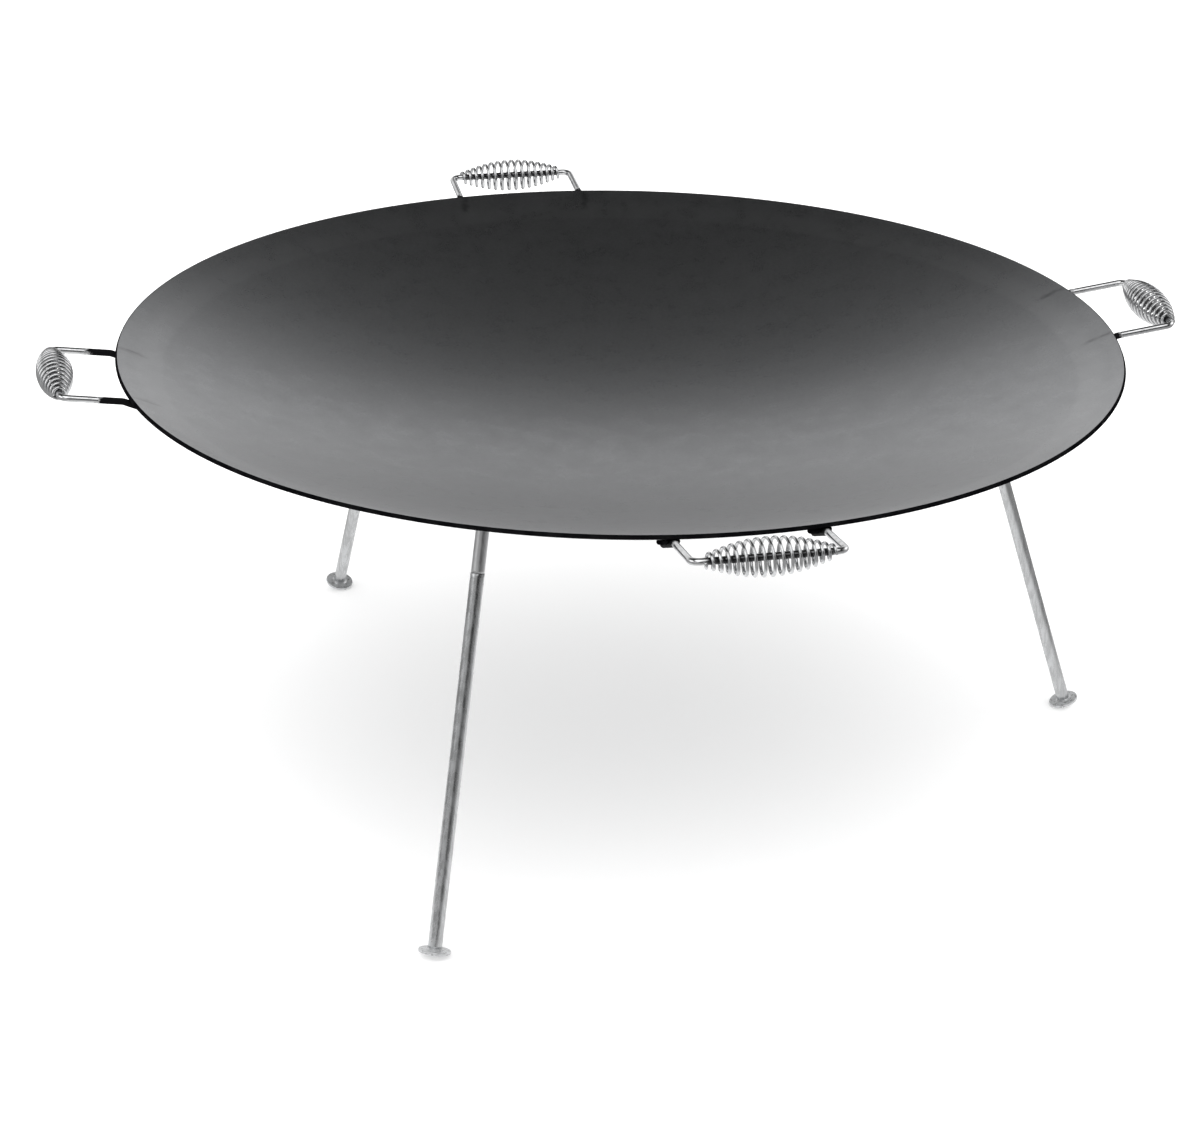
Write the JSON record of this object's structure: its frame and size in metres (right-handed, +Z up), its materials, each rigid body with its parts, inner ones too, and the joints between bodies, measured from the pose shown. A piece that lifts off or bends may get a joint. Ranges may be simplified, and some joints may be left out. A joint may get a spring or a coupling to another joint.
{
  "type": "fire griddle pan",
  "caption": "Wide shallow dished steel griddle standing over a fire on splayed pull-off legs, with sprung coil grips on its carrying handles.",
  "frame": {"origin": "on the ground under the dish's centre", "axes": "+Z up, +X to the right handle, +Y to the back handle"},
  "size_m": [1.135, 1.135, 0.4533],
  "materials": {
    "pan_steel": "dark hot-rolled sheet with a fine dull grain",
    "handle_chrome": "bright plated round bar",
    "grip_wire": "bright plated spring wire",
    "weld_scale": "black weld scale",
    "stub_zinc": "satin zinc plate",
    "leg_zinc": "streaky zinc plate",
    "foot_zinc": "bright zinc plate"
  },
  "bodies": {
    "pan": {"pan": "pan_steel", "handle_bar_right": "handle_chrome", "handle_bar_back": "handle_chrome", "handle_bar_left": "handle_chrome", "handle_bar_front": "handle_chrome", "handle_welds_right": "weld_scale", "handle_welds_back": "weld_scale", "handle_welds_left": "weld_scale", "handle_welds_front": "weld_scale", "stub_right": "stub_zinc", "stub_back": "stub_zinc", "stub_front": "stub_zinc", "stub_weld_right": "weld_scale", "stub_weld_back": "weld_scale", "stub_weld_front": "weld_scale"},
    "grip_right": {"grip_right": "grip_wire"},
    "grip_back": {"grip_back": "grip_wire"},
    "grip_left": {"grip_left": "grip_wire"},
    "grip_front": {"grip_front": "grip_wire"},
    "leg_right": {"leg_tube_right": "leg_zinc", "foot_weld_right": "foot_zinc", "foot_disc_right": "foot_zinc"},
    "leg_back": {"leg_tube_back": "leg_zinc", "foot_weld_back": "foot_zinc", "foot_disc_back": "foot_zinc"},
    "leg_front": {"leg_tube_front": "leg_zinc", "foot_weld_front": "foot_zinc", "foot_disc_front": "foot_zinc"}
  },
  "joints": [
    {"name": "leg_slide_right", "type": "slide", "parent": "pan", "child": "leg_right", "axis": [0.3066, -0.0145, -0.9517], "range_m": [0, 0.06]},
    {"name": "leg_slide_back", "type": "slide", "parent": "pan", "child": "leg_back", "axis": [-0.1408, 0.2727, -0.9517], "range_m": [0, 0.06]},
    {"name": "leg_slide_front", "type": "slide", "parent": "pan", "child": "leg_front", "axis": [-0.1658, -0.2583, -0.9517], "range_m": [0, 0.06]},
    {"name": "grip_spin_right", "type": "hinge", "parent": "pan", "child": "grip_right", "pos_m": [0.55, 0, 0.436], "axis": [0, 1, 0], "continuous": true},
    {"name": "grip_spin_back", "type": "hinge", "parent": "pan", "child": "grip_back", "pos_m": [0, 0.55, 0.436], "axis": [-1, 0, 0], "continuous": true},
    {"name": "grip_spin_left", "type": "hinge", "parent": "pan", "child": "grip_left", "pos_m": [-0.55, 0, 0.436], "axis": [0, -1, 0], "continuous": true},
    {"name": "grip_spin_front", "type": "hinge", "parent": "pan", "child": "grip_front", "pos_m": [0, -0.55, 0.436], "axis": [1, 0, 0], "continuous": true}
  ]
}
